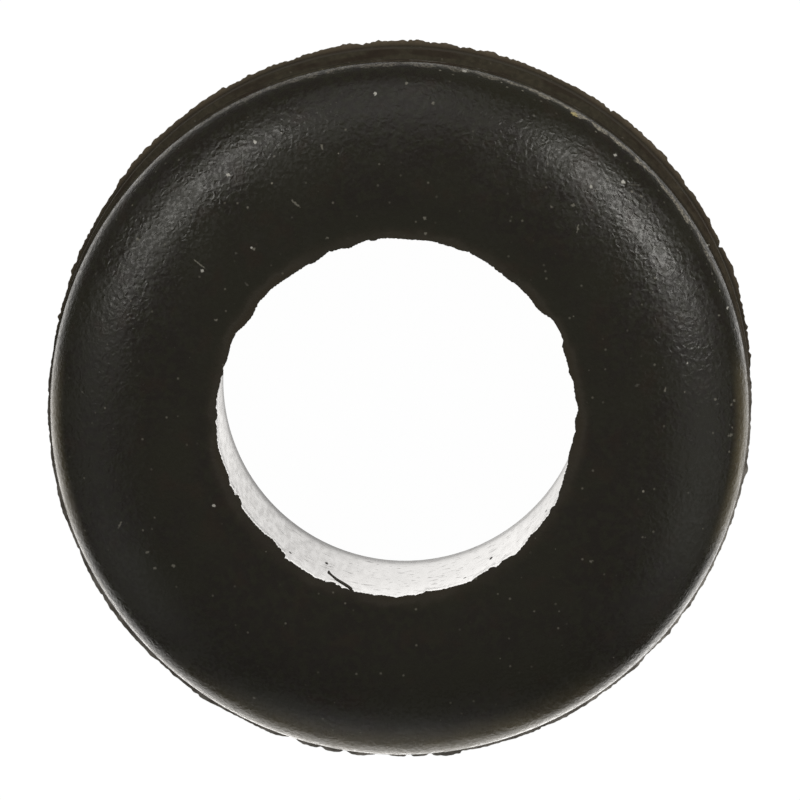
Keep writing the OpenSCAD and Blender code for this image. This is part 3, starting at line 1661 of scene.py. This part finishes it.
@dataclass(frozen=True)
class Surroundings:
    """World that lights the object evenly from all round, with soft glows.

    Attributes:
        glows: The glows.
        base: How bright it is without them.
    """

    glows: tuple[Glow, ...]
    base: float = 0.12

    def build(self) -> None:
        """Makes the world, which shows plain to the camera."""
        world = bpy.data.worlds.new("studio")
        bpy.context.scene.world = world
        world.use_nodes = True
        world.node_tree.nodes.clear()
        g = Graph(world.node_tree)
        direction = g.add("ShaderNodeTexCoord", {}).outputs["Generated"]
        shares = []
        for glow in self.glows:
            inputs = {0: direction, 1: Vector(glow.towards).normalized()}
            facing = g.add("ShaderNodeVectorMath", inputs, operation="DOT_PRODUCT").outputs["Value"]
            edge = math.cos(math.radians(glow.spread))
            shares.append(g.fade(facing, edge, 1.0, 0.0, glow.strength))
        light = g.plus(*shares, self.base)
        seen = g.add("ShaderNodeLightPath", {}).outputs["Is Camera Ray"]
        strength = g.add("ShaderNodeMix", {0: seen, 2: light, 3: 1.0}).outputs[0]
        sky = g.add("ShaderNodeBackground", {"Strength": strength}).outputs[0]
        g.add("ShaderNodeOutputWorld", {"Surface": sky})


@dataclass(frozen=True)
class View:
    """Camera nearly above the ring, far off and with a long lens.

    Attributes:
        tilt: Angle from straight above, in degrees.
        lean: Direction in which it leans, in degrees from +X.
        distance: Distance from what it aims at.
        width: Width of what it sees there.
        aside: How far right of the ring's middle it aims.
        ahead: How far above the ring's middle it aims.
        sensor: Width of its sensor, in millimetres.
    """

    tilt: float = 7.87
    lean: float = 78.0
    distance: float = 0.6
    width: float = 17.54 * MM
    aside: float = 0.024 * MM
    ahead: float = 0.149 * MM
    sensor: float = 36.0

    def build(self, height: float) -> None:
        """Sets up the camera.

        Args:
            height: Height at which it aims.
        """
        tilt, lean = math.radians(self.tilt), math.radians(self.lean)
        level = math.sin(tilt)
        back = Vector((level * math.cos(lean), level * math.sin(lean), math.cos(tilt)))
        right = Vector((0, 1, 0)).cross(back).normalized()
        up = back.cross(right)
        aim = Vector((0, 0, height)) + right * self.aside + up * self.ahead
        lens = bpy.data.cameras.new("camera")
        lens.sensor_width = self.sensor
        lens.lens = self.sensor * self.distance / self.width
        camera = bpy.data.objects.new("camera", lens)
        turned = Matrix((right, up, back)).transposed().to_4x4()
        camera.matrix_world = Matrix.Translation(aim + back * self.distance) @ turned
        bpy.context.scene.collection.objects.link(camera)
        bpy.context.scene.camera = camera


@dataclass(frozen=True)
class Studio:
    """Everything round the object.

    Attributes:
        floor: The floor.
        lamps: The soft lamps.
        surroundings: The world.
        view: The camera.
    """

    floor: Floor
    lamps: tuple[Softbox, ...]
    surroundings: Surroundings
    view: View

    def build(self, height: float) -> None:
        """Sets the studio up.

        Args:
            height: Height at which the camera aims.
        """
        self.floor.build()
        for lamp in self.lamps:
            lamp.build()
        self.surroundings.build()
        self.view.build(height)
        bpy.context.scene.view_settings.view_transform = "Standard"


def packed_section() -> Section:
    """Takes the ring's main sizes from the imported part, whose box holds an even fin of flash.

    Returns:
        The sizes.
    """
    low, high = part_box(NODE)
    flash_w = 0.08 * MM
    return Section(
        bore_r=mount_size("cable_bore", "r_mm"),
        groove_r=mount_size("panel_groove", "r_mm"),
        groove_w=mount_size("panel_groove", "length_mm"),
        flange_r=high.x - flash_w,
        height=high.z - low.z,
        bore_edge_r=high.z - low.z - mount_size("cable_bore", "length_mm"),
    )


def torn_edges() -> dict[Edge, Tear]:
    """Gives how each torn edge runs, with its swells and chips.

    Returns:
        Each edge's tear.
    """
    return {
        Edge.LIP: Tear(
            seed=11,
            reach=0.06 * MM,
            sway=0.01 * MM,
            corner=0.019 * MM,
            step=0.026 * MM,
            steps=0.25,
            belly=0.034 * MM,
            grit=0.0035 * MM,
            spans=(1.4, 7.0),
            least=-0.05 * MM,
            lift=0.004 * MM,
            swells=(
                Swell(-13, 20, 0.075 * MM), Swell(30, 9, -0.12 * MM), Swell(65, 50, -0.03 * MM),
                Swell(118, 18, 0.035 * MM), Swell(-180, 46, -0.012 * MM),
                Swell(-137, 16, 0.08 * MM), Swell(-110, 8, 0.06 * MM), Swell(-80, 10, 0.03 * MM),
                Swell(-155, 20, 0.04 * MM), Swell(-50, 14, -0.03 * MM),
                Swell(-100, 9, -0.04 * MM), Swell(50, 12, 0.03 * MM), Swell(143, 12, 0.03 * MM),
                Swell(20, 9, -0.03 * MM),
            ),
        ),
        Edge.UPPER: Tear(
            seed=21,
            reach=0.045 * MM,
            sway=0.006 * MM,
            corner=0.007 * MM,
            step=0.014 * MM,
            steps=0.25,
            belly=0.014 * MM,
            grit=0.0045 * MM,
            spans=(0.7, 4.0),
            least=0.0,
            lift=0.006 * MM,
            swells=(
                Swell(-10, 2.0, 0.06 * MM), Swell(-47.4, 3.2, 0.035 * MM),
                Swell(-46.2, 1.0, 0.03 * MM), Swell(-40, 1.2, 0.035 * MM),
                Swell(-37.8, 0.8, 0.02 * MM), Swell(-82, 5, 0.045 * MM),
                Swell(-125, 7, 0.04 * MM), Swell(-164, 7, 0.045 * MM),
                Swell(-135, 1.4, 0.025 * MM), Swell(-130, 1.6, 0.015 * MM),
                Swell(-93, 2.2, -0.1 * MM), Swell(-99, 1.4, -0.08 * MM),
                Swell(-108, 3, -0.07 * MM), Swell(-88.5, 0.9, -0.09 * MM),
                Swell(-85, 0.8, -0.07 * MM), Swell(-103, 1.2, -0.05 * MM),
                Swell(-60, 18, 0.012 * MM), Swell(-62, 26, 0.02 * MM),
                Swell(-146, 30, 0.06 * MM), Swell(-100, 44, 0.035 * MM),
                Swell(-20, 26, -0.02 * MM),
            ),
        ),
        Edge.LOWER: Tear(
            seed=31,
            reach=0.105 * MM,
            sway=0.009 * MM,
            corner=0.009 * MM,
            step=0.018 * MM,
            steps=0.3,
            belly=0.026 * MM,
            grit=0.007 * MM,
            spans=(0.7, 2.8),
            least=0.01 * MM,
            lift=0.012 * MM,
            swells=(
                Swell(0, 44, -0.08 * MM), Swell(165, 44, -0.06 * MM), Swell(42, 26, 0.035 * MM),
                Swell(75, 24, 0.01 * MM), Swell(125, 48, 0.012 * MM), Swell(90, 20, 0.02 * MM),
                Swell(140, 10, 0.028 * MM), Swell(101, 8, 0.03 * MM), Swell(80, 7, -0.025 * MM),
                Swell(20, 7, 0.035 * MM),
            ),
        ),
    }


def lip_strand() -> Strand:
    """Gives the strand that hangs from the lip.

    Returns:
        The strand.
    """
    return Strand(
        route=(
            (255.5, 0.085 * MM, 0.0, 0.034 * MM),
            (254.3, 0.122 * MM, 0.0, 0.036 * MM),
            (252.0, 0.166 * MM, 0.002 * MM, 0.035 * MM),
            (249.7, 0.2 * MM, 0.006 * MM, 0.03 * MM),
            (248.1, 0.239 * MM, 0.012 * MM, 0.025 * MM),
            (247.1, 0.262 * MM, 0.016 * MM, 0.026 * MM),
            (246.5, 0.281 * MM, 0.02 * MM, 0.036 * MM),
            (246.2, 0.295 * MM, 0.022 * MM, 0.03 * MM),
            (246.1, 0.303 * MM, 0.024 * MM, 0.01 * MM),
        )
    )


def lint() -> tuple[Mark, ...]:
    """Gives the grains and fibres that lie on the upper flange.

    Returns:
        The grains and fibres.
    """
    pale, dull, faint = tone(205, 202, 192), tone(128, 124, 112), tone(88, 85, 76)
    warm = tone(214, 196, 138)
    return (
        Mark(59.5, 7.58 * MM, 0.15 * MM, 0.07 * MM, -31, warm),
        Mark(46, 7.1 * MM, 0.09 * MM, 0.08 * MM, 0, pale),
        Mark(50, 6.6 * MM, 0.08 * MM, 0.08 * MM, 0, pale),
        Mark(50, 7.4 * MM, 0.07 * MM, 0.07 * MM, 0, pale),
        Mark(50.5, 6.05 * MM, 0.1 * MM, 0.06 * MM, 20, dull),
        Mark(54, 5.75 * MM, 0.07 * MM, 0.06 * MM, 0, dull),
        Mark(44.2, 7.22 * MM, 0.34 * MM, 0.03 * MM, -8, faint),
        Mark(43.7, 7.09 * MM, 0.06 * MM, 0.05 * MM, 0, dull),
        Mark(42, 7.17 * MM, 0.08 * MM, 0.045 * MM, -40, dull),
        Mark(39.9, 7.2 * MM, 0.05 * MM, 0.05 * MM, 0, faint),
        Mark(47.5, 7.44 * MM, 0.06 * MM, 0.05 * MM, 0, faint),
        Mark(10.5, 6.46 * MM, 0.06 * MM, 0.05 * MM, 0, pale),
        Mark(8, 5.32 * MM, 0.1 * MM, 0.05 * MM, 30, faint),
        Mark(2.8, 6.96 * MM, 0.07 * MM, 0.065 * MM, 0, dull),
        Mark(1.9, 7 * MM, 0.05 * MM, 0.045 * MM, 0, faint),
        Mark(2.1, 7.37 * MM, 0.07 * MM, 0.06 * MM, 0, dull),
        Mark(1.5, 7.31 * MM, 0.06 * MM, 0.04 * MM, 40, dull),
        Mark(17, 7.35 * MM, 0.05 * MM, 0.05 * MM, 0, dull),
        Mark(17.5, 7.56 * MM, 0.07 * MM, 0.05 * MM, 60, pale),
        Mark(28.4, 6.4 * MM, 0.06 * MM, 0.05 * MM, 0, dull),
        Mark(358, 7.27 * MM, 0.06 * MM, 0.04 * MM, -50, faint),
        Mark(357.5, 7.33 * MM, 0.07 * MM, 0.045 * MM, -60, dull),
        Mark(353.3, 7.31 * MM, 0.045 * MM, 0.045 * MM, 0, dull),
        Mark(355.2, 7.5 * MM, 0.05 * MM, 0.04 * MM, 0, faint),
        Mark(81.2, 4.12 * MM, 0.08 * MM, 0.06 * MM, 0, dull),
        Mark(130.2, 4.9 * MM, 0.05 * MM, 0.05 * MM, 0, pale),
        Mark(117.4, 4.97 * MM, 0.06 * MM, 0.05 * MM, 50, faint),
        Mark(125.2, 5.65 * MM, 0.05 * MM, 0.05 * MM, 0, dull),
        Mark(134.1, 5.04 * MM, 0.06 * MM, 0.05 * MM, 0, faint),
        Mark(138.1, 4.4 * MM, 0.1 * MM, 0.05 * MM, -60, faint),
        Mark(46.5, 5.75 * MM, 0.18 * MM, 0.05 * MM, 82, dull),
        Mark(28, 7.66 * MM, 0.1 * MM, 0.06 * MM, 20, pale),
        Mark(79, 7.6 * MM, 0.12 * MM, 0.06 * MM, -11, pale),
        Mark(88.5, 7.25 * MM, 0.07 * MM, 0.06 * MM, 0, dull),
        Mark(94, 7.05 * MM, 0.08 * MM, 0.07 * MM, 0, pale),
        Mark(83.5, 6.9 * MM, 0.07 * MM, 0.06 * MM, 0, dull),
        Mark(105.5, 6.15 * MM, 0.09 * MM, 0.06 * MM, -60, dull),
        Mark(117.5, 6.75 * MM, 0.08 * MM, 0.07 * MM, 0, pale),
        Mark(125, 6.45 * MM, 0.09 * MM, 0.08 * MM, 0, pale),
        Mark(115, 5.2 * MM, 0.24 * MM, 0.045 * MM, -40, dull),
        Mark(142, 5.45 * MM, 0.32 * MM, 0.035 * MM, -37, dull),
        Mark(142.8, 5.33 * MM, 0.08 * MM, 0.06 * MM, -37, pale),
        Mark(130, 4.85 * MM, 0.07 * MM, 0.06 * MM, 0, dull),
        Mark(82, 4.45 * MM, 0.09 * MM, 0.07 * MM, 70, dull),
        Mark(111, 4.25 * MM, 0.07 * MM, 0.06 * MM, 0, dull),
        Mark(151.5, 4.5 * MM, 0.08 * MM, 0.06 * MM, 0, dull),
        Mark(146, 6.85 * MM, 0.07 * MM, 0.06 * MM, 0, dull),
        Mark(6, 5.9 * MM, 0.12 * MM, 0.05 * MM, 80, dull),
        Mark(356.2, 7.3 * MM, 0.1 * MM, 0.08 * MM, 0, dull),
        Mark(323.5, 5.3 * MM, 0.1 * MM, 0.07 * MM, 0, dull),
        Mark(206, 4.45 * MM, 0.09 * MM, 0.06 * MM, -20, pale),
        Mark(209, 6.25 * MM, 0.08 * MM, 0.07 * MM, 0, dull),
        Mark(212.5, 6.3 * MM, 0.08 * MM, 0.07 * MM, 0, dull),
        Mark(214, 5.9 * MM, 0.09 * MM, 0.08 * MM, 0, dull),
        Mark(202, 6.55 * MM, 0.17 * MM, 0.045 * MM, 65, dull),
        Mark(243.5, 7.05 * MM, 0.07 * MM, 0.06 * MM, 0, dull),
    )


def polished_wall() -> BoreWall:
    """Gives the bore's finish, with its pits.

    Returns:
        The finish.
    """
    return BoreWall(
        pits=(
            (246, 3.05 * MM, 0.4 * MM),
            (300, 3.5 * MM, 0.48 * MM),
            (233.5, 4.55 * MM, 0.3 * MM),
            (323.5, 3.7 * MM, 0.25 * MM),
            (291.5, 4.85 * MM, 0.22 * MM),
        )
    )


def studio_round(section: Section) -> Studio:
    """Gives the studio round a ring.

    Args:
        section: The ring's sizes.

    Returns:
        The studio.
    """
    return Studio(
        floor=Floor(
            pools=(
                Pool((-0.8 * MM, -6.1 * MM), (18 * MM, 18 * MM), 0.56, 1.5),
                Pool((-0.8 * MM, -3.8 * MM), (10 * MM, 9 * MM), 0.7, 1.25),
                Pool((0, 0), (7.6 * MM, 7.6 * MM), 0.6, -1.63),
                Pool((-2 * MM, -34 * MM), (18 * MM, 26 * MM), 0.4, 0.9),
                Pool((-2.75 * MM, -2.95 * MM), (2.4 * MM, 2.4 * MM), 0.35, -0.14),
                Pool((6.3 * MM, -8.2 * MM), (6 * MM, 6 * MM), 0.35, 1.05),
                Pool((3.6 * MM, -1.9 * MM), (2.2 * MM, 2.2 * MM), 0.35, -0.16),
            ),
            contact=Contact((0.03 * MM, 0.02 * MM), section.bore_r + 0.2 * MM, 0.38 * MM, 0.97),
        ),
        lamps=(
            Softbox("right_softbox", (0.69, 0.49, 0.51), 40, 9, 7.4),
            Softbox("left_softbox", (-0.66, 0.53, 0.53), 42, 9, 5.0),
        ),
        surroundings=Surroundings(
            glows=(
                Glow((0, 0, 1), 80, 0.09),
                Glow((-0.05, 1, 0.46), 25, 0.8),
                Glow((-0.1, -1, -0.1), 31, 0.85),
                Glow((0.86, -0.52, 0.32), 22, 0.42),
                Glow((-0.83, -0.56, 0.33), 23, 0.36),
                Glow((1, -0.15, 0.55), 28, 0.37),
                Glow((-1, 0.0, 0.5), 22, 0.33),
            ),
        ),
        view=View(),
    )


def main() -> None:
    """Builds the grommet and the studio round it."""
    logging.basicConfig(level=logging.INFO, format="%(name)s %(message)s")
    section = packed_section()
    skin = Skin(marks=lint())
    ring = Grommet(section, torn_edges(), skin, polished_wall(), lip_strand()).build()
    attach(ring, BODY)
    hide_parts(NODE)
    studio_round(section).build(section.rim_z)


if __name__ == "__main__":
    main()
